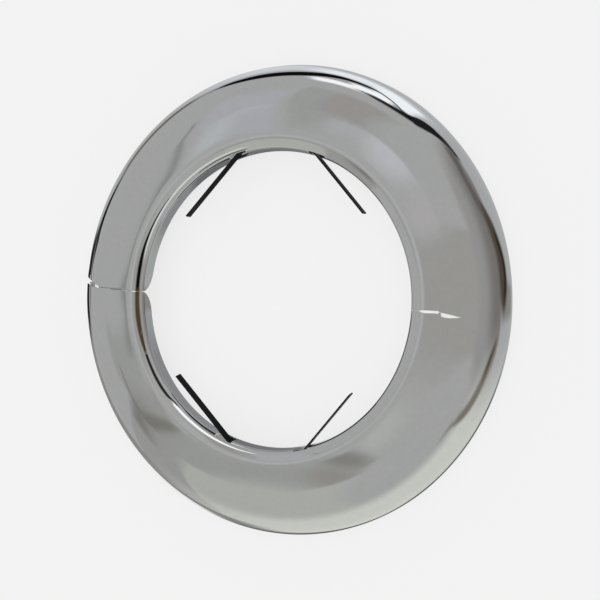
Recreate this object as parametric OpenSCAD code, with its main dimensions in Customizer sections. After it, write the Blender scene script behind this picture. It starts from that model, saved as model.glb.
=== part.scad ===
// Hinged pipe rosette: two pressed half rings that close round a heating pipe.
// Origin at the ring's centre on its back plane, +Z out of the front face, split along X,
// hinge at +X and latch at -X.

/* [Ring] */
// Outer diameter of the closed ring
ring_d = 100; // [98:0.5:104]
// Height of the flat front face above the back edge
ring_h = 7.5; // [7.3:0.1:7.8]
// Thickness of the pressed sheet
sheet_t = 0.5; // [0.4:0.05:0.6]

/* [Hole collar] */
// Diameter of the hole at the collar's back edge
hole_d = 62.4; // [62:0.1:63]
// Height of the collar's back edge above the ring's back edge
collar_z = 4; // [3.9:0.1:4.1]
// Diameter at which the face starts to roll down towards the hole
roll_d = 70; // [69.6:0.2:70.6]
// Width of that roll, across the face
roll_w = 3; // [2.9:0.1:3.1]
// Radius of the roll
roll_r = 9; // [8:0.5:10]
// Radius of the lip between the roll and the collar
lip_r = 0.9; // [0.8:0.05:1]
// Angle that the lip turns through, measured from a flat face
lip_turn = 85; // [83:1:87]
// Radius of the collar's rounded corners beside each split
corner_r = 2.8; // [2:0.2:3.2]

/* [Leaf springs] */
// Thickness of the spring strip
strip_t = 0.3; // [0.2:0.05:0.35]
// Width of the spring strip
strip_w = 1.7; // [1.5:0.1:1.8]
// Height of the strip's middle line above the back edge
strip_z = 5.6; // [5.5:0.05:5.65]
// Angle from the half's middle to each bend of the strip
bend_angle = 15.4; // [15:0.1:15.8]
// Length of the longer free arm, on the latch side
long_arm = 18.7; // [17:0.1:20]
// Length of the shorter free arm, on the hinge side
short_arm = 17.5; // [16:0.1:19]
// Slope of the upper spring's arms to the split line
upper_slope = 47.4; // [46:0.2:50]
// Slope of the lower spring's arms to the split line
lower_slope = 49.2; // [46:0.2:50]
// How far the upper spring has slid round in its slots towards the latch
upper_slide = 1.6; // [-1.6:0.1:1.6]
// How far the lower spring has slid round in its slots towards the latch
lower_slide = -1.3; // [-1.6:0.1:1.6]
// How far the lower spring leans out of the front
lower_lean = 12; // [0:1:12]
// Angle from the half's middle to the centre of each slot
slot_angle = 17.3; // [17.2:0.1:17.4]
// Length of each slot round the collar
slot_l = 4.2; // [4.1:0.1:4.4]
// Lowest and highest point of each slot
slot_span = [4.55, 6.7];

/* [Split] */
// Where the split reaches the rim on the hinge side, below the middle line
hinge_drop = 0.7; // [0.6:0.05:0.8]
// Width of the closed split at its tightest
tight_gap = 0.04; // [0.02:0.01:0.06]

/* [Hinge and latch] */
// Thickness of the hinge strap
strap_t = 0.3; // [0.2:0.05:0.4]
// Lowest and highest edge of the hinge strap
strap_span = [0.6, 2.6];
// Angle that the strap reaches to either side of the hinge
strap_angle = 9; // [7:1:12]
// Thickness of the latch tongue and its keeper
latch_t = 0.5; // [0.4:0.05:0.6]
// Width of the latch tongue
tongue_w = 3; // [2.6:0.1:3]
// Distance from the ring's axis to the middle of the tongue
tongue_x = 38.8; // [38.6:0.1:38.9]
// Length of the tongue inside its own half
tongue_root = 7; // [6:0.5:9]
// Length of the tongue past the split
tongue_reach = 6; // [5:0.5:7]
// Clearance round the tongue in its keeper
keeper_gap = 0.25; // [0.2:0.01:0.26]
// Width of each of the keeper's feet
foot_w = 1; // [0.8:0.1:1]
// Distance from the split to the keeper
keeper_y = 1.6; // [1.4:0.2:2.4]
// Length of the keeper along the tongue
keeper_l = 3; // [2.4:0.2:3.2]

/* [Hidden] */
$fn = 96;

chrome = [0.70, 0.71, 0.72];
blued_steel = [0.07, 0.07, 0.08];
bare_steel = [0.45, 0.46, 0.47];

ring_r = ring_d / 2;
hole_r = hole_d / 2;
roll_start = roll_d / 2;
shoulder_steps = 12;
lip_steps = 6;
roll_steps = 3;
under_face = ring_h - sheet_t;
far = ring_r + 4;
tall = ring_h + 4;

// The split is one broken line. Right of the hole it opens into two slits with a nib between
// them, and left of the hole it is nearly closed and climbs over the shoulder.
slit_in = [[30, 0.15], [33.2, 0.12], [34.6, 0.2], [37.45, 0.25]];
slit_out = [[37.8, 0], [38.1, -0.03], [40, -0.31], [42.1, -0.65]];
slit_in_low = [[42.1, -0.69], [41.4, -0.8], [40, -0.96], [38.75, -0.9], [38, -0.66]];
nib = [[37.95, -0.07], [37.6, 0.02], [37.5, -0.28]];
slit_out_low = [[36.9, -0.23], [34.8, -0.34], [33.8, -0.22], [33.2, 0], [30, 0.03]];
climb_start = [-43, tight_gap];
climb_end = [-far, 2.55];
climb_gap = 0.33;

function polar(c, r, a) = [c.x + r * cos(a), c.y + r * sin(a)];
function arc(c, r, a0, a1, n) = [for (i = [0:n]) polar(c, r, a0 + (a1 - a0) * i / n)];
function unit(v) = v / norm(v);
function normal(v) = [-v.y, v.x];
function flip(points) = [for (i = [len(points) - 1:-1:0]) points[i]];

// A point of the path's outline, h to its left, mitred at the corners
function beside(path, i, h) =
    let (last = len(path) - 1,
         a = unit(i == 0 ? path[1] - path[0] : path[i] - path[i - 1]),
         b = unit(i == last ? path[i] - path[i - 1] : path[i + 1] - path[i]),
         m = unit(normal(a) + normal(b)))
    path[i] + m * h / (m * normal(a));
function ribbon(path, t) =
    concat([for (i = [0:len(path) - 1]) beside(path, i, t / 2)],
           flip([for (i = [0:len(path) - 1]) beside(path, i, -t / 2)]));

// One surface of the sheet, from the rim to the collar, inset by s: 0 outside, sheet_t inside
roll_tilt = asin(roll_w / roll_r);
roll_c = [roll_start, ring_h - roll_r];
lip_c = polar(roll_c, roll_r - lip_r, 90 + roll_tilt);
function skin(s) =
    concat(arc([ring_r - ring_h, 0], ring_h - s, 0, 90, shoulder_steps),
           arc(roll_c, roll_r - s, 90, 90 + roll_tilt, roll_steps),
           arc(lip_c, lip_r - s, 90 + roll_tilt, 90 + lip_turn, lip_steps),
           [[hole_r + s / sin(lip_turn), collar_z]]);

module ring() {
    rotate_extrude()
        polygon(concat(skin(0), flip(skin(sheet_t))));
}

// Everything on the wrong side of the split, for each half
module above_upper_edge() {
    left = [climb_end, climb_start, [-30, tight_gap / 2]];
    right = concat(slit_in, slit_out, [[43, tight_gap - hinge_drop], [far, tight_gap - hinge_drop]]);
    half_plane(concat(left, right), -far);
}

module below_lower_edge() {
    left = [[-30, -tight_gap / 2], climb_start - [0, tight_gap], climb_end - [0, climb_gap]];
    right = concat([[far, -hinge_drop], [43, -hinge_drop]], slit_in_low, nib, slit_out_low);
    half_plane(concat(right, left), far);
}

module half_plane(edge, y) {
    translate([0, 0, -1])
        linear_extrude(tall)
            polygon(concat(edge, [[edge[len(edge) - 1].x, y], [edge[0].x, y]]));
}

// Rounds the collar's back corners where the half ends at the split
module collar_corners() {
    for (side = [-1, 1])
        translate([side * (hole_r + 0.5) - 2, 0, 0])
            rotate([90, 0, 90])
                linear_extrude(4)
                    difference() {
                        translate([-1, collar_z - 1])
                            square([corner_r + 1, corner_r + 1]);
                        translate([corner_r, collar_z + corner_r])
                            circle(corner_r);
                    }
}

module spring_slots() {
    slot_half = slot_l / 2;
    for (a = [90 - slot_angle, 90 + slot_angle])
        rotate([0, 0, a])
            translate([hole_r - 1, -slot_half, slot_span[0]])
                cube([2.2, slot_l, slot_span[1] - slot_span[0]]);
}

// The whole ring with one half's slots and rounded corners, ready to be cut off at the split
module half_blank() {
    difference() {
        ring();
        collar_corners();
        spring_slots();
    }
}

module upper_half_shell() {
    color(chrome)
        difference() {
            half_blank();
            above_upper_edge();
        }
}

module lower_half_shell() {
    color(chrome)
        difference() {
            rotate([0, 0, 180]) half_blank();
            below_lower_edge();
        }
}

// A strip bent to lie round the back of the collar, with both arms through the slots
spring_r = hole_r + 1;
lean_y = hole_r - 1;
function spring_path(slope) = concat(
    [polar([0, 0], spring_r, 90 + bend_angle) + long_arm * [-cos(slope), -sin(slope)]],
    arc([0, 0], spring_r, 90 + bend_angle, 90 - bend_angle, 8),
    [polar([0, 0], spring_r, 90 - bend_angle) + short_arm * [cos(slope), -sin(slope)]]);

module leaf_spring(slope, slide, lean) {
    color(blued_steel)
        rotate([0, 0, slide])
            translate([0, lean_y, 0])
                rotate([lean, 0, 0])
                    translate([0, -lean_y, -strip_w / 2])
                        linear_extrude(strip_w)
                            polygon(ribbon(spring_path(slope), strip_t));
}

module upper_leaf_spring() {
    translate([0, 0, strip_z])
        leaf_spring(upper_slope, upper_slide, 0);
}

// The same strip turned over about the split line
module lower_leaf_spring() {
    translate([0, 0, strip_z])
        rotate([180, 0, 0])
            leaf_spring(lower_slope, lower_slide, lower_lean);
}

// A flexible strap fixed inside the rim of both halves, across the split
module hinge_strap() {
    wall = [for (z = strap_span) [ring_r - ring_h + sqrt(pow(ring_h - sheet_t, 2) - z * z) - 0.03, z]];
    color(bare_steel)
        rotate([0, 0, -asin(hinge_drop / ring_r) - strap_angle])
            rotate_extrude(angle = 2 * strap_angle)
                polygon([wall[0], wall[1], wall[1] - [strap_t, 0], wall[0] - [strap_t, 0]]);
}

// A tongue fixed under the lower half's face, which slides into the keeper
module latch_tongue() {
    color(bare_steel)
        translate([-tongue_x, 0, under_face - latch_t])
            linear_extrude(latch_t)
                polygon([[-tongue_w / 2, -tongue_root], [tongue_w / 2, -tongue_root],
                         [tongue_w / 2, tongue_reach - 1], [tongue_w / 2 - 1, tongue_reach],
                         [1 - tongue_w / 2, tongue_reach], [-tongue_w / 2, tongue_reach - 1]]);
}

// A bridge fixed by its two feet under the upper half's face
module latch_keeper() {
    inside = tongue_w / 2 + keeper_gap;
    outside = inside + latch_t;
    depth = latch_t + keeper_gap;
    color(bare_steel)
        translate([-tongue_x, keeper_y + keeper_l, under_face])
            rotate([90, 0, 0])
                linear_extrude(keeper_l)
                    polygon([[-outside - foot_w, 0], [-inside, 0], [-inside, -depth], [inside, -depth],
                             [inside, 0], [outside + foot_w, 0], [outside + foot_w, -latch_t],
                             [outside, -latch_t], [outside, -depth - latch_t],
                             [-outside, -depth - latch_t], [-outside, -latch_t],
                             [-outside - foot_w, -latch_t]]);
}

upper_half_shell();
lower_half_shell();
upper_leaf_spring();
lower_leaf_spring();
hinge_strap();
latch_tongue();
latch_keeper();
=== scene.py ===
import math
from bisect import bisect_right

import bmesh
import bpy
from mathutils import Matrix, Vector


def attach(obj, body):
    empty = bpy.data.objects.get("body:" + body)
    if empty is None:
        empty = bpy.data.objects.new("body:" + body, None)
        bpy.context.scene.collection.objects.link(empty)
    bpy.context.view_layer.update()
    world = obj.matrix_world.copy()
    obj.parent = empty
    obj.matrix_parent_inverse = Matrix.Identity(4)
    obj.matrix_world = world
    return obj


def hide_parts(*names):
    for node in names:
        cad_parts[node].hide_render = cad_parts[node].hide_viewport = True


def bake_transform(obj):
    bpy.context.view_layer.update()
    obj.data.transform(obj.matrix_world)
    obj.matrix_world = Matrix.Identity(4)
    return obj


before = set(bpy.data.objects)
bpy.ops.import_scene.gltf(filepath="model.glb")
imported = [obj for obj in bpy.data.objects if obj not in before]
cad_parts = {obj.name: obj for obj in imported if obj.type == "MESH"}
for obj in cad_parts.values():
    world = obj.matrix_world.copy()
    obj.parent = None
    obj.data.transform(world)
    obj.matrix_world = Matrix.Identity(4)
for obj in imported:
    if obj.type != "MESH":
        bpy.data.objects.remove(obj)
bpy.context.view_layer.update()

MM = 0.001

# The pressed sheet's section, in millimetres, as in the CAD source
RING_R = 50.0
RING_H = 7.5
SHEET_T = 0.5
HOLE_R = 31.2
COLLAR_Z = 4.0
ROLL_START = 34.6
ROLL_W = 2.6
ROLL_R = 6.82
LIP_R = 0.9
LIP_TURN = 85.0
# Length along the split and depth from the collar's edge up of the corners rounded off beside the split
CORNER = (4.4, 3.1)
# Lengths over which the flat face starts to bend, into the rim's round and into the inner roll
RIM_EASE = 6.0
ROLL_EASE = 1.2
BEND_STEP = 0.26
SLOT_ANGLE = 17.3
SLOT_L = 4.2
SLOT_BOTTOM = 4.55
SLOT_TOP_TURN = 122.0

# The split's four edges: distance from the ring's axis, and height over the middle line
UPPER_RIGHT = [(30, .06), (33.2, .04), (34.6, .2), (37.45, .25), (37.8, 0), (38.1, -.03), (40, -.31),
               (42.1, -.671), (54, -.671)]
LOWER_RIGHT = [(30, .03), (33.2, 0), (33.8, -.22), (34.8, -.34), (36.9, -.23), (37.5, -.28), (37.6, .02),
               (37.95, -.07), (38, -.66), (38.75, -.9), (40, -.96), (41.4, -.8), (42.1, -.673), (54, -.673)]
UPPER_LEFT = [(30, -.3), (33.15, -.32), (33.4, -.3), (34, -.28), (35, -.2), (36, -.1), (41.5, .01), (43, .07),
              (44.2, .56), (45.4, 1.15), (46.6, 1.6), (54, 4.2)]
LOWER_LEFT = [(30, -.33), (33.15, -.35), (33.4, -.5), (34, -.48), (35, -.41), (36, -.32), (41.5, -.22),
              (43.4, -.19), (45.1, .02), (46.2, .4), (54, 1.5)]
# Radius of the sheet's worn edges along the split, on the left and on the right
EDGE_ROUND = (0.05, 0)

# The strap inside the rim: its edges' heights, its gap to the wall, thickness, reach in degrees, rounded
# corners, and how far below the split's middle line the hinge sits
STRAP_SPAN = (0.6, 2.6)
STRAP_GAP = 0.03
STRAP_T = 0.3
STRAP_ANGLE = 9.0
STRAP_CORNER = 0.6
HINGE_DROP = 0.68

# Camera: the photograph's view, in millimetres and degrees
CAMERA_DISTANCE = 250.0
CAMERA_SHIFT = (3.39, -0.11)
CAMERA_TURN = 3.65
CAMERA_YAW = 26.436
CAMERA_PITCH = 0.309
CAMERA_LENS = 70.17

BACKDROP = 0.896
# Share of the floor's brightness that doesn't depend on shadows, and the radii between which the ring covers
# it, from a middle a little to the left; under the split's inner left end and its right end daylight gets in
# again, within LIT_Y of the middle line
FLOOR_GLOW = 0.85
COVERED = (32.1, 46.3)
COVERED_MIDDLE = (-2.2, 0.1, 0)
LIT_X = (-39.2, 50.0)
LIT_Y = 4.0
CEILING = (.628, .632, .625)


def arc(centre, radius, start, end, steps):
    """Points and outward normals along an arc, angles in degrees."""
    made = []
    for i in range(steps + 1):
        a = math.radians(start + (end - start) * i / steps)
        n = Vector((math.cos(a), math.sin(a)))
        made.append((Vector(centre) + n * radius, n))
    return made


def bend(start, way, ease, radius, tilt):
    """Points and outward normals along a bend out of the flat face, which it leaves with no jump in curvature."""
    length = radius * tilt + ease / 2
    rows = round(length / BEND_STEP)
    fine = 10
    step = length / rows / fine
    point = Vector((start - way * ease / 2, RING_H))

    def lean(s):
        return s * s / (2 * ease * radius) if s < ease else (s - ease / 2) / radius

    made = []
    for i in range(rows * fine):
        middle = lean((i + 0.5) * step)
        point += Vector((way * math.cos(middle), -math.sin(middle))) * step
        if i % fine == fine - 1:
            end = lean((i + 1) * step)
            made.append((point.copy(), Vector((way * math.sin(end), math.cos(end)))))
    return made


def rim():
    """Points and outward normals from the rim's foot to the flat face."""
    radius = RING_H - RIM_EASE ** 2 / (24 * RING_H)
    foot = (Vector((RING_R, 0)), Vector((1, 0)))
    return [foot] + bend(RING_R - radius, 1, RIM_EASE, radius, math.pi / 2)[-2::-1]


def section():
    """The sheet's outer surface from rim to collar: (point, normal, kind) rows, in millimetres, and the lip's
    first row."""
    rows = [(p, n, "skin") for p, n in rim()]
    up = Vector((0, 1))
    breaks = {r for edge in (UPPER_RIGHT, LOWER_RIGHT) for r, _ in edge}
    roll_end = ROLL_START + ROLL_EASE / 2
    breaks |= {roll_end + 0.5 * i for i in range(15)}
    flat = sorted((r for r in breaks if roll_end < r < rows[-1][0].x - 0.05), reverse=True)
    rows += [(Vector((r, RING_H)), up, "skin") for r in flat]
    lean = math.asin(ROLL_W / ROLL_R)
    rows += [(p, n, "skin") for p, n in bend(ROLL_START, -1, ROLL_EASE, ROLL_R, lean)]
    tilt = math.degrees(lean)
    lip = rows[-1][0] - rows[-1][1] * LIP_R
    lip_row = len(rows) - 1
    to_slot = arc(lip, LIP_R, 90 + tilt, SLOT_TOP_TURN, 5)
    rows += [(p, n, "skin") for p, n in to_slot[1:]]
    rows[-1] = (*rows[-1][:2], "slot_top")
    rows += [(p, n, "skin") for p, n in arc(lip, LIP_R, SLOT_TOP_TURN, 90 + LIP_TURN, 16)[1:]]
    top, normal, _ = rows[-1]
    slot_share = (top.y - SLOT_BOTTOM) / (top.y - COLLAR_Z)
    for i in range(1, 15):
        share = i / 14
        kind = "collar"
        if i == round(slot_share * 14):
            share, kind = slot_share, "slot_bottom"
        rows.append((top.lerp(Vector((HOLE_R, COLLAR_Z)), share), normal, kind))
    return rows, lip_row


def shortened(rows, first, depth):
    """Points and normals of the rows once the section, from its first-th row on, is cut short by a depth."""
    ends = [0.0]
    for (a, _, _), (b, _, _) in zip(rows[first:], rows[first + 1:]):
        ends.append(ends[-1] + (b - a).length)
    made = [(point, normal) for point, normal, _ in rows[:first]]
    for end in ends:
        place = end * max(0.02, 1 - depth / ends[-1])
        k = min(bisect_right(ends, place), len(ends) - 1)
        share = (place - ends[k - 1]) / (ends[k] - ends[k - 1])
        (p0, n0, _), (p1, n1, _) = rows[first + k - 1], rows[first + k]
        made.append((p0.lerp(p1, share), n0.lerp(n1, share)))
    return made


def edge_angle(edge, r):
    """Angle over the middle line at which an edge of the split crosses radius r."""
    i = min(max(bisect_right([x for x, _ in edge], r), 1), len(edge) - 1)
    (r0, y0), (r1, y1) = edge[i - 1], edge[i]
    y = y0 + (y1 - y0) * (r - r0) / (r1 - r0)
    return math.asin(y / r)


def columns(slots):
    """Shares of the half turn, fine beside the split, with one at each end of each slot."""
    fine = [0.02 * (i / 24) ** 1.5 for i in range(24)]
    even = [0.02 + 0.96 * i / 250 for i in range(251)]
    shares = fine + even + [1 - s for s in reversed(fine)]
    for s in (s for slot in slots for s in slot):
        nearest = min(range(len(shares)), key=lambda k: abs(shares[k] - s))
        shares[nearest] = s
    return shares


def rounded(from_edge, length, depth):
    """How far a rounded edge falls back at a distance from its end."""
    if from_edge >= length:
        return 0.0
    return depth * (1 - math.sqrt(1 - (1 - from_edge / length) ** 2))


def half_shell(name, body, start_edge, end_edge, turned, worn):
    """One pressed half ring: a grid over the section and the half turn, with its slots left open."""
    rows, lip_row = section()
    half = SLOT_L / 2 / (HOLE_R + SHEET_T)
    middles = [math.pi / 2 - math.radians(SLOT_ANGLE), math.pi / 2 + math.radians(SLOT_ANGLE)]
    slots = [((m - half) / math.pi, (m + half) / math.pi) for m in middles]
    shares = columns(slots)
    kinds = [kind for _, _, kind in rows]
    slot_rows = range(kinds.index("slot_top"), kinds.index("slot_bottom"))
    outer, inner = {}, {}
    for j, share in enumerate(shares):
        cut = rounded(min(share, 1 - share) * math.pi * HOLE_R, *CORNER)
        edge = worn[0] if share < 0.5 else worn[1]
        for i, (point, normal) in enumerate(shortened(rows, lip_row, cut)):
            r, z = point
            first = turned + start_edge(r)
            last = turned + math.pi + end_edge(r)
            a = first + (last - first) * share
            if kinds[i] in ("collar", "slot_bottom") and cut == 0:
                ri, zi = r + SHEET_T, z
            else:
                ri, zi = r - normal.x * SHEET_T, z - normal.y * SHEET_T
            back = rounded(min(share, 1 - share) * math.pi * r, edge, edge)
            r, z = r - normal.x * back, z - normal.y * back
            outer[i, j] = Vector((r * math.cos(a), r * math.sin(a), z)) * MM
            inner[i, j] = Vector((ri * math.cos(a), ri * math.sin(a), zi)) * MM
    wide = len(shares)

    def kept(i, j):
        if not (0 <= i < len(rows) - 1 and 0 <= j < wide - 1):
            return False
        middle = (shares[j] + shares[j + 1]) / 2
        return not (i in slot_rows and any(a < middle < b for a, b in slots))

    faces, is_inner = [], []
    places = [(i, j) for i in range(len(rows)) for j in range(wide)]
    base = len(places)

    def add(corners, inside):
        faces.append(corners)
        is_inner.append(inside)

    for i in range(len(rows) - 1):
        for j in range(wide - 1):
            if not kept(i, j):
                continue
            a, b = i * wide + j, i * wide + j + 1
            c, d = b + wide, a + wide
            add((a, b, c, d), False)
            add((base + d, base + c, base + b, base + a), True)
            for near, (p, q) in (((i - 1, j), (a, b)), ((i, j + 1), (b, c)),
                                 ((i + 1, j), (c, d)), ((i, j - 1), (d, a))):
                if not kept(*near):
                    add((q, p, base + p, base + q), False)
    mesh = bpy.data.meshes.new(name)
    mesh.from_pydata([outer[at] for at in places] + [inner[at] for at in places], [], faces)
    mesh.materials.append(chrome())
    mesh.materials.append(plated_back())
    mesh.polygons.foreach_set("material_index", [int(x) for x in is_inner])
    mesh.polygons.foreach_set("use_smooth", [True] * len(faces))
    mesh.update()
    mesh.validate()
    mesh.set_sharp_from_angle(angle=math.radians(35))
    piece = bpy.data.objects.new(name, mesh)
    bpy.context.scene.collection.objects.link(piece)
    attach(piece, body)
    return piece


def shader(name):
    """A new material, its node tree and its Principled shader."""
    material = bpy.data.materials.new(name)
    material.use_nodes = True
    tree = material.node_tree
    return material, tree, tree.nodes["Principled BSDF"]


def node(tree, kind, inputs=(), **settings):
    """Adds a node, sets its properties, and sets or links its inputs by name or number."""
    made = tree.nodes.new(kind)
    for key, value in settings.items():
        setattr(made, key, value)
    for key, value in dict(inputs).items():
        socket = made.inputs[key]
        if isinstance(value, bpy.types.NodeSocket):
            tree.links.new(value, socket)
        else:
            socket.default_value = value
    return made


def grey(level, blue=1.0):
    return (level, level, level * blue, 1)


_made = {}


def once(make):
    def get():
        if make.__name__ not in _made:
            _made[make.__name__] = make()
        return _made[make.__name__]
    return get


@once
def chrome():
    material, tree, bsdf = shader("bright_chrome")
    bsdf.inputs["Metallic"].default_value = 1
    place = node(tree, "ShaderNodeTexCoord").outputs["Object"]
    haze = node(tree, "ShaderNodeTexNoise", {"Vector": place, "Scale": 90, "Detail": 3}).outputs["Fac"]
    rough = node(tree, "ShaderNodeMapRange", {"Value": haze, "To Min": 0.02, "To Max": 0.05})
    tree.links.new(rough.outputs["Result"], bsdf.inputs["Roughness"])
    mottle = node(tree, "ShaderNodeTexNoise", {"Vector": place, "Scale": 900, "Detail": 3}).outputs["Fac"]
    tint = node(tree, "ShaderNodeMix", {"Factor": mottle, 6: (0.525, 0.532, 0.53, 1), 7: (0.575, 0.58, 0.578, 1)},
                data_type="RGBA")
    tree.links.new(tint.outputs[2], bsdf.inputs["Base Color"])
    return material


@once
def plated_back():
    material, tree, bsdf = shader("dull_plated_back")
    bsdf.inputs["Metallic"].default_value = 1
    bsdf.inputs["Base Color"].default_value = (0.42, 0.42, 0.42, 1)
    place = node(tree, "ShaderNodeTexCoord").outputs["Object"]
    haze = node(tree, "ShaderNodeTexNoise", {"Vector": place, "Scale": 300, "Detail": 4})
    rough = node(tree, "ShaderNodeMapRange", {"Value": haze.outputs["Fac"], "To Min": 0.3, "To Max": 0.5})
    tree.links.new(rough.outputs["Result"], bsdf.inputs["Roughness"])
    return material


@once
def blackened_steel():
    material, tree, bsdf = shader("blackened_spring_steel")
    bsdf.inputs["Metallic"].default_value = 0
    bsdf.inputs["Specular IOR Level"].default_value = 0.1
    place = node(tree, "ShaderNodeTexCoord").outputs["Object"]
    stain = node(tree, "ShaderNodeTexNoise", {"Vector": place, "Scale": 400, "Detail": 4}).outputs["Fac"]
    tint = node(tree, "ShaderNodeMix", {"Factor": stain, 6: (0.002, 0.002, 0.002, 1), 7: (0.006, 0.006, 0.007, 1)},
                data_type="RGBA")
    tree.links.new(tint.outputs[2], bsdf.inputs["Base Color"])
    rough = node(tree, "ShaderNodeMapRange", {"Value": stain, "To Min": 0.35, "To Max": 0.55})
    tree.links.new(rough.outputs["Result"], bsdf.inputs["Roughness"])
    return material


@once
def bare_steel():
    material, tree, bsdf = shader("bare_steel")
    bsdf.inputs["Metallic"].default_value = 1
    place = node(tree, "ShaderNodeTexCoord").outputs["Object"]
    stain = node(tree, "ShaderNodeTexNoise", {"Vector": place, "Scale": 500, "Detail": 4})
    tint = node(tree, "ShaderNodeMix", {"Factor": stain.outputs["Fac"], 6: (0.3, 0.3, 0.3, 1),
                                        7: (0.46, 0.46, 0.47, 1)}, data_type="RGBA")
    tree.links.new(tint.outputs[2], bsdf.inputs["Base Color"])
    bsdf.inputs["Roughness"].default_value = 0.38
    return material


def hinge_strap():
    """The flexible strap behind the split, built as a new mesh in place of the CAD one, which is hidden."""
    steps, rows = 48, 5
    low, high = STRAP_SPAN
    middle = -math.asin(HINGE_DROP / RING_R)
    corners, faces = [], []
    for depth in (STRAP_GAP, STRAP_GAP + STRAP_T):
        for i in range(steps + 1):
            a = middle + math.radians(STRAP_ANGLE) * (2 * i / steps - 1)
            end = min(i, steps - i) / steps * 2 * math.radians(STRAP_ANGLE) * RING_R
            narrow = rounded(end, STRAP_CORNER, STRAP_CORNER)
            for j in range(rows):
                z = low + narrow + (high - low - 2 * narrow) * j / (rows - 1)
                r = RING_R - RING_H + math.sqrt((RING_H - SHEET_T) ** 2 - z * z) - depth
                corners.append(Vector((r * math.cos(a), r * math.sin(a), z)) * MM)
    layer = (steps + 1) * rows
    for i in range(steps):
        for j in range(rows - 1):
            a = i * rows + j
            faces.append((a, a + rows, a + rows + 1, a + 1))
            faces.append((a + layer, a + layer + 1, a + layer + rows + 1, a + layer + rows))
        for a in (i * rows, i * rows + rows - 1):
            faces.append((a, a + layer, a + layer + rows, a + rows))
    for first in (0, steps * rows):
        for j in range(rows - 1):
            a = first + j
            faces.append((a, a + 1, a + layer + 1, a + layer))
    mesh = bpy.data.meshes.new("bending_hinge_strap")
    mesh.from_pydata(corners, [], faces)
    mesh.materials.append(bare_steel())
    mesh.validate()
    make_outward(mesh)
    piece = bpy.data.objects.new("bending_hinge_strap", mesh)
    bpy.context.scene.collection.objects.link(piece)
    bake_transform(piece)
    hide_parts("hinge_strap")


def make_outward(mesh):
    """Turns every face of a closed mesh outward and lets its flat faces stay flat."""
    grid = bmesh.new()
    grid.from_mesh(mesh)
    bmesh.ops.recalc_face_normals(grid, faces=grid.faces)
    for face in grid.faces:
        face.smooth = True
    grid.to_mesh(mesh)
    grid.free()
    mesh.set_sharp_from_angle(angle=math.radians(35))


def dress(name, material):
    """Gives a CAD piece that keeps its shape its material."""
    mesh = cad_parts[name].data
    mesh.materials.clear()
    mesh.materials.append(material)


def camera():
    turn = (Matrix.Rotation(math.radians(CAMERA_TURN), 3, "Z")
            @ Matrix.Rotation(math.radians(CAMERA_YAW), 3, "Y")
            @ Matrix.Rotation(math.radians(-CAMERA_PITCH), 3, "X"))
    data = bpy.data.cameras.new("camera")
    data.lens = CAMERA_LENS
    data.sensor_width = 36
    data.clip_start = 0.01
    view = bpy.data.objects.new("camera", data)
    place = turn @ Vector((*CAMERA_SHIFT, CAMERA_DISTANCE)) * MM
    view.matrix_world = Matrix.Translation(place) @ turn.to_4x4()
    bpy.context.scene.collection.objects.link(view)
    bpy.context.scene.camera = view


def floor():
    bpy.ops.mesh.primitive_plane_add(size=6, location=(0, 0, -0.00003))
    plane = bpy.context.object
    plane.name = "floor"
    material, tree, bsdf = shader("pale_floor")
    bsdf.inputs["Base Color"].default_value = grey(BACKDROP)
    bsdf.inputs["Roughness"].default_value = 1
    bsdf.inputs["Specular IOR Level"].default_value = 0
    glow = node(tree, "ShaderNodeEmission", {"Color": grey(BACKDROP)})
    rays = node(tree, "ShaderNodeLightPath").outputs
    direct = calc(tree, "MAXIMUM", rays["Is Camera Ray"], rays["Is Transmission Ray"])
    at = node(tree, "ShaderNodeTexCoord").outputs["Object"]
    across = node(tree, "ShaderNodeSeparateXYZ", {0: at}).outputs
    middle = Vector(COVERED_MIDDLE) * MM
    far = node(tree, "ShaderNodeVectorMath", {0: at, 1: middle}, operation="DISTANCE").outputs["Value"]
    under = smooth(tree, far, COVERED[0] * MM, COVERED[1] * MM, 0.4 * MM)
    lit = calc(tree, "MULTIPLY", smooth(tree, across["X"], LIT_X[0] * MM, LIT_X[1] * MM, MM),
               smooth(tree, across["Y"], -LIT_Y * MM, LIT_Y * MM, MM))
    dark = calc(tree, "MULTIPLY", under, calc(tree, "SUBTRACT", 1.0, lit))
    share = calc(tree, "MULTIPLY", calc(tree, "MULTIPLY", direct, FLOOR_GLOW), calc(tree, "SUBTRACT", 1.0, dark))
    mix = node(tree, "ShaderNodeMixShader", {0: share, 1: bsdf.outputs[0], 2: glow.outputs[0]})
    tree.links.new(mix.outputs[0], tree.nodes["Material Output"].inputs["Surface"])
    plane.data.materials.append(material)
    plane.visible_glossy = False


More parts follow.
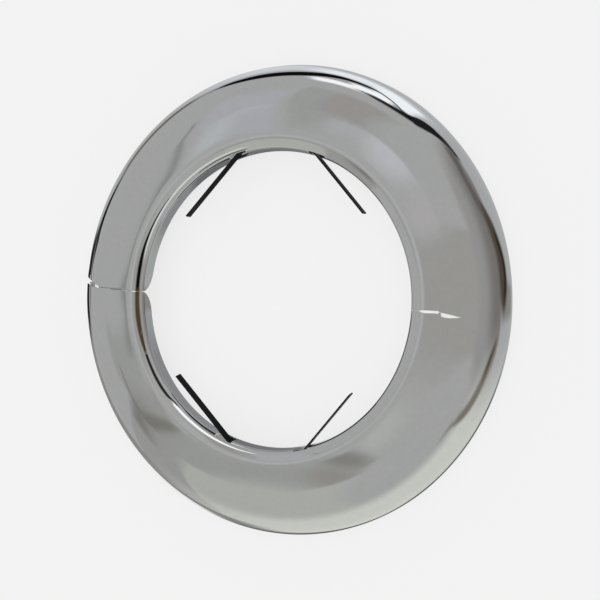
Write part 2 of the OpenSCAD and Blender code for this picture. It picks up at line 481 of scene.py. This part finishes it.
# The ceiling is given where the flat face mirrors it. First areas with straight edges: for each edge a point
# on it, the direction of its inner side in degrees and its softness, then the area's light.
AREAS = {
    "upper part of the front wall": ([(0, -38.3, -90, 4), (-20, -38.3, -37, 8), (26, -38.3, 197, 24)],
                                     (.69, .7, .655)),
    "shade before the front wall": ([(0, -29.8, -90, 3), (0, -38.3, 90, 3), (-33, -34, 0, 10),
                                     (26, -34, 180, 10)], (.535, .54, .52)),
    "shade in the middle": ([(0, -16, -90, 16), (-14, -25, 0, 8), (14, -25, 180, 8), (0, -34, 90, 4)],
                            (.56, .565, .55)),
    "left-hand wall": ([(-34, -25, -57, 5), (-20, -38.3, 143, 8), (-21, -33, 180, 6)], (.53, .53, .51)),
    "dim corner on the left": ([(0, -10, -90, 8), (-29, -20, 180, 6), (0, -25.5, 90, 3), (-60, 0, 0, 30)],
                               (.54, .545, .53)),
    "beam at the front left": ([(-28, -26.9, -101, 1.8), (-27, -30.5, 91, 2.4), (-19.5, -29, 180, 6),
                                (-36, -27, 10, 4)], (.31, .3, .27)),
    "far end of it": ([(0, 0, 306, 9), (0, 0, 136, 14), (-29, -26, 222, 6), (-75, -67, 42, 60)], (.34, .33, .31)),
    "dim ceiling at the back right": ([(0, 35.5, 90, 4), (2, 40, 0, 4), (0, 0, 148, 14), (0, 200, -90, 80)],
                                      (.555, .565, .55)),
    "brown beam at the back right": ([(14, 41, 88, 4), (0, 0, -12, 8), (0, 0, 152, 8), (0, 200, -90, 80)],
                                     (.535, .505, .49)),
    "shade on the right": ([(32, -11, 81.5, 16), (36, 15, -69, 7)], (.545, .535, .515)),
    "lilac light at the back left": ([(0, 0, 28, 4), (-1, 38, 180, 3), (0, 32.5, 90, 5), (0, 120, -90, 60)],
                                     (.665, .665, .71)),
}
# Then soft ellipses: x, y, half length, half width, turn in degrees and light
CEILING_SHAPES = {
    "pale beam at the back left": (-15.5, 33.5, 12, 3.2, 45, (.74, .775, .8)),
    "lilac lamp at the back": (-6.5, 41.5, 8, 4, 8, (.72, .72, .785)),
    "pale streak at the back right": (25.8, 30.7, 11.3, 6.6, -38, (.81, .82, .86)),
    "pale patch beside it": (15.5, 35.6, 8, 2.4, -8, (.69, .69, .71)),
    "warm light on the right": (34, 19.5, 6.5, 7.5, 0, (.69, .667, .68)),
    "light at the front right": (27, -24.5, 11, 4, 50, (.7, .71, .69)),
    "shade at the front right": (20.3, -30.9, 8.8, 2.7, 4, (.37, .36, .335)),
    "brown patch at the front right": (17, -35.2, 10, 3.5, 0, (.47, .45, .43)),
    "beam going up on the left": (-35.6, -22, 7, 2, 112, (.34, .335, .32)),
    "pale ceiling in the middle": (2, 2, 30, 18, 0, (.69, .695, .69)),
}
# A cable across it: y and x of points along it
CABLE = [(-14, -33.4), (-10.6, -34.2), (-5, -34.9), (-1, -36), (0, -36.3), (1, -36), (4.8, -34.5),
         (11, -32.6), (17.4, -30), (22.7, -27.5), (25.5, -25.7), (29, -24.3), (32, -23.6), (36, -24.6),
         (43, -27.7), (56, -34.5)]
CABLE_HALF = 0.75
CABLE_COLOUR = (.33, .34, .34)
# The rest of the room by compass: azimuth and its half width, elevation from and to, soft edges of each, and
# the light that comes from there. Later ones cover earlier ones.
PANELS = {
    "right-hand wall": (16, 44, 16, -60, 62, 24, (.5, .49, .48)),
    "lower part of it": (22, 34, 22, -16, 28, 40, (.3, .28, .268)),
    "table": (0, 180, 1, -90, -12, 10, (.64, .65, .66)),
    "front wall": (-79, 51, 40, -56, 27, 30, (.97, .98, .915)),
    "dim table to the left": (-152, 32, 14, -40, -14, 10, (.38, .38, .375)),
    "pale table to the front left": (-160, 22, 14, -66, -33, 12, (1.3, 1.3, 1.25)),
    "pale table to the left": (160, 30, 16, -80, -38, 14, (1.15, 1.15, 1.15)),
    "pale table at the back": (106, 32, 28, -38, -9, 14, (.98, 1.01, 1.07)),
    "shelf foot on the right": (3, 7, 6, -60, -24, 10, (.42, .4, .38)),
    "window in the table": (97, 13, 12, -31, -11, 6, (1.35, 1.4, 1.48)),
    "window under the arch": (82, 8, 5, -26, 9, 7, (1.5, 1.55, 1.6)),
    "left window over the back wall": (90, 7, 4, 5, 18, 4, (1.6, 1.62, 1.66)),
    "right window over the back wall": (102, 8.5, 5, 13, 25, 5, (1.6, 1.62, 1.66)),
}
# Dark bands: azimuth, elevation and half height along each, then its ends, their softness, its blur, its colour
BANDS = {
    "arch": ([(54, -12, 4), (60, -10, 6), (66, -3, 10), (70, 4, 13), (74, 13, 9), (78, 19, 6), (84, 22.5, 5),
              (90, 23, 4), (96, 22, 1.5)], 54, 97, 5, 6, (.02, .02, .022)),
    "gap under the back wall": ([(76, 16, 2), (80, 9, 2), (85, 1, 2), (90, -3, 3), (97, -3, 4.5), (105, 0, 7),
                                 (113, 5, 8), (120, 6, 8), (127, 5, 7), (134, 1, 4), (138, 0, 1)],
                                75, 139, 4, 4, (.006, .006, .006)),
    "grey stretch of it": ([(140, -3, 5), (150, -4, 6), (160, -4, 6)], 140, 162, 6, 6, (.24, .21, .19)),
    "left end of it": ([(156, 2, 2), (162, 2, 4), (168, 0, 6.5), (173, -2, 10), (177, -9, 15), (180, -13, 14)],
                       162, 186, 8, 4, (.006, .006, .006)),
    "grey stretch on the left": ([(-180, -18, 7), (-172, -15, 8), (-160, -12, 8), (-150, -8, 8), (-140, -6, 7)],
                                 -184, -142, 14, 10, (.4, .4, .39)),
    "black stretch on the left": ([(-180, -24, 13), (-176, -24, 15), (-172, -18, 12)], -186, -171, 6, 6,
                                  (.02, .02, .02)),
    "foot of the door frame": ([(-8, -20, 5), (0, -20, 7), (13, -22, 16), (28, -13, 13), (36, -3, 8),
                                (42, 5, 5)], -3, 41, 10, 16, (.125, .1, .08)),
    "dark foot of it": ([(2, -24, 3), (8, -29, 5), (14, -32, 5), (20, -27, 5), (28, -20, 4)], 3, 27, 8, 10,
                        (.04, .032, .024)),
    "top of the door frame": ([(30, 0, 5), (36, 4, 7), (45, 7, 6.5), (54, 1, 8), (62, -2, 8)], 34, 60, 8, 12,
                              (.2, .18, .17)),
    "brown skirting": ([(-52, 40, 2), (-44, 31, 5), (-36, 19, 9), (-30, 13, 9), (-22, 7, 9), (-14, 0, 8),
                        (-8, -6, 6)], -54, -10, 12, 12, (.32, .295, .255)),
    "dark end of it": ([(-24, 9, 3), (-17, 5, 4.5), (-10, -2, 4)], -24, -11, 8, 8, (.16, .135, .11)),
    "table's edge at the front left": ([(-146, -58, 6), (-138, -55, 12), (-129, -47, 12), (-120, -50, 13),
                                        (-114, -52, 13), (-106, -60, 8), (-98, -66, 5)],
                                       -147, -99, 10, 14, (.22, .215, .205)),
}
# The camera's eye over the flat face, as mirrored points are counted from it, in millimetres
EYE = (113.99, 8.51, 214.8)


def smooth(tree, value, low, high, soft):
    """1 between low and high, falling smoothly to 0 over a soft stretch centred on each."""
    rise = node(tree, "ShaderNodeMapRange", {"Value": value, "From Min": low - soft / 2,
                "From Max": low + soft / 2}, interpolation_type="SMOOTHSTEP")
    fall = node(tree, "ShaderNodeMapRange", {"Value": value, "From Min": high - soft / 2,
                "From Max": high + soft / 2, "To Min": 1.0, "To Max": 0.0},
                interpolation_type="SMOOTHSTEP")
    return calc(tree, "MULTIPLY", rise.outputs[0], fall.outputs[0])


def calc(tree, operation, *values):
    """One Math node on sockets or numbers."""
    return node(tree, "ShaderNodeMath", dict(enumerate(values)), operation=operation).outputs[0]


def from_middle(tree, azimuth, middle):
    """Azimuth counted from a panel's middle, from -180 to 180."""
    return calc(tree, "WRAP", calc(tree, "SUBTRACT", azimuth, middle), 180.0, -180.0)


def curve_over(tree, along, reach, pairs, low, high):
    """A smooth curve through pairs of place and value: places within -reach to reach, values low to high."""
    curve = tree.nodes.new("ShaderNodeFloatCurve")
    points = curve.mapping.curves[0].points
    spots = [(place / reach / 2 + 0.5, (value - low) / (high - low)) for place, value in pairs]
    spots = [(0, spots[0][1])] + spots
    if spots[-1][0] < 1:
        spots.append((1, spots[-1][1]))
    while len(points) < len(spots):
        points.new(0.5, 0.5)
    for point, spot in zip(points, spots):
        point.location = spot
        point.handle_type = "AUTO_CLAMPED"
    curve.mapping.update()
    share = calc(tree, "MULTIPLY_ADD", along, 1 / reach / 2, 0.5)
    tree.links.new(share, curve.inputs["Value"])
    return calc(tree, "MULTIPLY_ADD", curve.outputs[0], high - low, low)


def studio():
    """The room that the chrome mirrors, by direction."""
    world = bpy.data.worlds.new("studio")
    bpy.context.scene.world = world
    world.use_nodes = True
    tree = world.node_tree
    ray = node(tree, "ShaderNodeSeparateXYZ",
               {0: node(tree, "ShaderNodeTexCoord").outputs["Generated"]}).outputs
    azimuth = calc(tree, "DEGREES", calc(tree, "ARCTAN2", ray["Y"], ray["X"]))
    elevation = calc(tree, "DEGREES", calc(tree, "ARCSINE", ray["Z"]))
    light = node(tree, "ShaderNodeRGB")
    light.outputs[0].default_value = (*CEILING, 1)
    light = light.outputs[0]
    mirrored = mirrored_place(tree, ray)
    for edges, colour in AREAS.values():
        light = over(tree, light, area(tree, mirrored, edges), colour)
    for x, y, long, wide, turn, colour in CEILING_SHAPES.values():
        light = over(tree, light, ceiling_shape(tree, mirrored, x, y, long, wide, turn), colour)
    light = over(tree, light, cable(tree, mirrored), CABLE_COLOUR)
    for middle, half, az_soft, low, high, el_soft, colour in PANELS.values():
        share = smooth(tree, elevation, low, high, el_soft)
        if half < 180:
            across = from_middle(tree, azimuth, middle)
            share = calc(tree, "MULTIPLY", share, smooth(tree, across, -half, half, az_soft))
        light = over(tree, light, share, colour)
    for line, start, end, soft, blur, colour in BANDS.values():
        light = over(tree, light, band(tree, azimuth, elevation, line, start, end, soft, blur), colour)
    room = tree.nodes["Background"]
    tree.links.new(light, room.inputs["Color"])
    rays = node(tree, "ShaderNodeLightPath").outputs
    backdrop = node(tree, "ShaderNodeBackground", {"Color": grey(BACKDROP)}).outputs[0]
    daylight = node(tree, "ShaderNodeBackground", {"Color": grey(1)}).outputs[0]
    direct = calc(tree, "MAXIMUM", rays["Is Camera Ray"], rays["Is Transmission Ray"])
    plain = node(tree, "ShaderNodeMixShader", {0: direct, 1: daylight, 2: backdrop}).outputs[0]
    mix = node(tree, "ShaderNodeMixShader", {0: rays["Is Glossy Ray"], 1: plain, 2: room.outputs[0]})
    tree.links.new(mix.outputs[0], tree.nodes["World Output"].inputs["Surface"])


def cable(tree, place):
    """The share of the thin cable on the ceiling."""
    at = node(tree, "ShaderNodeSeparateXYZ", {0: place}).outputs
    off = calc(tree, "SUBTRACT", at["X"], curve_over(tree, at["Y"], 60, CABLE, -60, 60))
    line = smooth(tree, off, -CABLE_HALF, CABLE_HALF, 1.1)
    return calc(tree, "MULTIPLY", line, smooth(tree, at["Y"], CABLE[0][0], CABLE[-1][0], 5))


def area(tree, place, edges):
    """The share of an area inside soft straight edges."""
    share = None
    for x, y, direction, soft in edges:
        inward = Vector((math.cos(math.radians(direction)), math.sin(math.radians(direction)), 0))
        depth = node(tree, "ShaderNodeVectorMath", {0: place, 1: inward}, operation="DOT_PRODUCT").outputs["Value"]
        edge = inward.dot((x, y, 0))
        step = node(tree, "ShaderNodeMapRange", {"Value": depth, "From Min": edge - soft / 2,
                    "From Max": edge + soft / 2}, interpolation_type="SMOOTHSTEP").outputs[0]
        share = calc(tree, "MULTIPLY", share, step) if share else step
    return share


def band(tree, azimuth, elevation, line, start, end, soft, blur):
    """The share of a soft-edged band that runs along a line of azimuths and elevations."""
    middle = curve_over(tree, azimuth, 180, [(az, el) for az, el, _ in line], -80, 80)
    half = curve_over(tree, azimuth, 180, [(az, wide) for az, _, wide in line], 0, 20)
    off = calc(tree, "ABSOLUTE", calc(tree, "SUBTRACT", elevation, middle))
    inside = node(tree, "ShaderNodeMapRange", {"Value": calc(tree, "SUBTRACT", off, half),
                  "From Min": -blur / 2, "From Max": blur / 2, "To Min": 1.0, "To Max": 0.0},
                  interpolation_type="SMOOTHSTEP").outputs[0]
    across = from_middle(tree, azimuth, (start + end) / 2)
    reach = (end - start) / 2
    return calc(tree, "MULTIPLY", inside, smooth(tree, across, -reach, reach, soft))


def mirrored_place(tree, ray):
    """Where on the flat face, in millimetres, the camera sees the light of this direction mirrored."""
    up = calc(tree, "MAXIMUM", ray["Z"], 0.01)
    x = calc(tree, "MULTIPLY_ADD", calc(tree, "DIVIDE", ray["X"], up), EYE[2], EYE[0])
    y = calc(tree, "MULTIPLY_ADD", calc(tree, "DIVIDE", ray["Y"], up), EYE[2], EYE[1])
    return node(tree, "ShaderNodeCombineXYZ", {"X": x, "Y": y}).outputs[0]


def ceiling_shape(tree, place, x, y, long, wide, turn):
    """The share of a soft ellipse on the ceiling."""
    local = node(tree, "ShaderNodeMapping", {"Vector": place, "Location": (x, y, 0),
                 "Rotation": (0, 0, math.radians(turn)), "Scale": (long, wide, 1)}, vector_type="TEXTURE")
    far = node(tree, "ShaderNodeVectorMath", {0: local.outputs[0]}, operation="LENGTH").outputs["Value"]
    return node(tree, "ShaderNodeMapRange", {"Value": far, "From Min": 0.2, "From Max": 1.0, "To Min": 1.0,
                "To Max": 0.0}, interpolation_type="SMOOTHSTEP").outputs[0]


def over(tree, below, share, colour):
    """Lays a colour over another, by its share."""
    mix = node(tree, "ShaderNodeMix", {"Factor": share, 6: below, 7: (*colour, 1)}, data_type="RGBA")
    return mix.outputs[2]


# Cards close to the inner lip, which only the chrome sees: points along each as angle, radius and half
# width, its height over the floor, and its light. An upright one stands on its edge. Their glow is painted
# reflection: the black and brown cards and the dark strip paint dark lines onto the lip, and the white and
# pale strips are painted highlights.
CARDS = {
    "black_card_above_the_latch": ([(142, 32.6, .15), (148, 32.8, .3), (157, 33.05, .6), (164, 33.25, .9),
                                    (171, 33.05, 1.4), (183, 33, 1.45)], 12.1, (.006, .006, .006), False),
    "brown_card": ([(179, 33, 1.5), (190, 33, 1.8), (197, 32.85, 1.45), (204, 32.8, .7)],
                   12, (.12, .085, .05), False),
    "black_card_below_the_latch": ([(195, 32.4, .4), (204, 32.7, .95), (208, 32.65, 1), (213, 32.6, 1.1),
                                    (218, 32.4, 1.1), (221.5, 32, .95), (224, 31.2, .7), (228, 30.6, .3)],
                                   12, (.03, .03, .025), False),
    "white_strip": ([(223, 31.8, .4), (226, 31.8, .9), (232, 31.65, .88), (236, 31.42, .88), (241, 31.3, .8),
                     (247, 31.12, .7), (256, 30.75, .4), (264, 30.4, .1)], 12, (1.7, 1.72, 1.75), False),
    "black_line_below_it": ([(228, 27, .8), (233, 27, 2), (238, 27, 2.8), (243, 27, 3.4), (247, 27, 2.6)],
                            10, (.03, .03, .03), True),
    "pale_strip": ([(106, 30.5, .3), (114, 30.8, .45), (123, 31.3, .55), (131, 31.6, .6), (138, 31.8, .65),
                    (148, 32, .65), (157, 32.15, .6), (164, 32, .4), (171, 31.6, .2)],
                   12, (1.1, 1.12, 1.07), False),
    "dark_strip_above_the_springs": ([(108, 29.4, .3), (116, 29.7, .55), (123, 29.9, .55), (131, 30.2, .3)],
                                     12, (.15, .15, .15), False),
    # The cards from here on paint the floor's shade inside the hole, with a lighter stretch at the front, and the
    # shadow at the rim's foot into the chrome's reflections: painted shade, painted light and painted shadow.
    "grey_ring_in_the_hole": ([(-180, 22, 5.5), (0, 22, 5.5), (180, 22, 5.5)], 5.5, (.44, .44, .46), True),
    "dark_card_in_the_hole": ([(-76, 27, 3.2), (-40, 27, 3.7), (0, 27, 3.2)], 5.2, (.08, .08, .08), True),
    "painted_floor_shade_in_the_hole": ([(-180, 27, 6), (0, 27, 6), (180, 27, 6)], .1, (.41, .41, .43), False),
    "painted_floor_shade_at_the_back": ([(50, 28, 6), (120, 28, 6), (140, 27, 5)], .15, (.24, .24, .25), False),
    "painted_floor_shade_at_the_front": ([(246, 28, 6), (282, 28, 6)], .15, (.26, .26, .27), False),
    "painted_floor_light_at_the_front": ([(286, 28, 6), (345, 28, 6)], .15, (.8, .8, .82), False),
    "shadow_on_the_floor": ([(-182, 51.8, 1.2), (-168, 51.6, 1.1), (-120, 51, 1), (-90, 50.7, .65),
                             (-60, 50.35, .32), (-30, 50.2, .2), (-8, 50.2, .15)], .05, (.05, .05, .05), False),
}


def card(name, line, height, colour, upright):
    """A ribbon with soft edges that only glossy rays see. Its glow paints a reflection into the chrome: a painted
    highlight where it is bright, painted shade where it is dark.
    """
    angles, radii, halves = zip(*line)
    corners = []
    steps = 60
    for i in range(steps + 1):
        angle = angles[0] + (angles[-1] - angles[0]) * i / steps
        k = min(max(bisect_right(angles, angle), 1), len(line) - 1)
        share = (angle - angles[k - 1]) / (angles[k] - angles[k - 1])
        radius = radii[k - 1] + (radii[k] - radii[k - 1]) * share
        half = halves[k - 1] + (halves[k] - halves[k - 1]) * share
        across = Vector((math.cos(math.radians(angle)), math.sin(math.radians(angle)), 0))
        way = Vector((0, 0, 1)) if upright else across
        middle = across * radius + Vector((0, 0, height))
        corners += [(middle + way * half * side) * MM for side in (-1, -.45, .45, 1)]
    faces = [(4 * i + j, 4 * i + j + 1, 4 * i + j + 5, 4 * i + j + 4) for i in range(steps) for j in range(3)]
    mesh = bpy.data.meshes.new(name)
    mesh.from_pydata(corners, [], faces)
    solid = mesh.attributes.new("solid", "FLOAT", "POINT")
    ends = [min(1, i / 4, (steps - i) / 4) for i in range(steps + 1)]
    solid.data.foreach_set("value", [end * middle for end in ends for middle in (0, 1, 1, 0)])
    material = bpy.data.materials.new(name)
    material.use_nodes = True
    tree = material.node_tree
    tree.nodes.remove(tree.nodes["Principled BSDF"])
    share = node(tree, "ShaderNodeAttribute", attribute_name="solid").outputs["Fac"]
    clear = node(tree, "ShaderNodeBsdfTransparent").outputs[0]
    light = node(tree, "ShaderNodeEmission", {"Color": (*colour, 1)}).outputs[0]
    mix = node(tree, "ShaderNodeMixShader", {0: share, 1: clear, 2: light}).outputs[0]
    tree.links.new(mix, tree.nodes["Material Output"].inputs["Surface"])
    mesh.materials.append(material)
    piece = bpy.data.objects.new(name, mesh)
    bpy.context.scene.collection.objects.link(piece)
    piece.visible_camera = False
    piece.visible_diffuse = False
    piece.visible_shadow = False
    piece.visible_transmission = False


camera()
floor()
studio()
for name, settings in CARDS.items():
    card(name, *settings)

upper = half_shell("upper_half_pressing", "upper_half",
                   lambda r: edge_angle(UPPER_RIGHT, r), lambda r: -edge_angle(UPPER_LEFT, r), 0,
                   EDGE_ROUND[::-1])
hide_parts("upper_half_shell")
lower = half_shell("lower_half_pressing", "lower_half",
                   lambda r: -edge_angle(LOWER_LEFT, r), lambda r: edge_angle(LOWER_RIGHT, r), math.pi,
                   EDGE_ROUND)
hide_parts("lower_half_shell")

dress("upper_leaf_spring", blackened_steel())
dress("lower_leaf_spring", blackened_steel())
hinge_strap()
dress("latch_tongue", bare_steel())
dress("latch_keeper", bare_steel())

bpy.context.scene.view_settings.view_transform = "Standard"
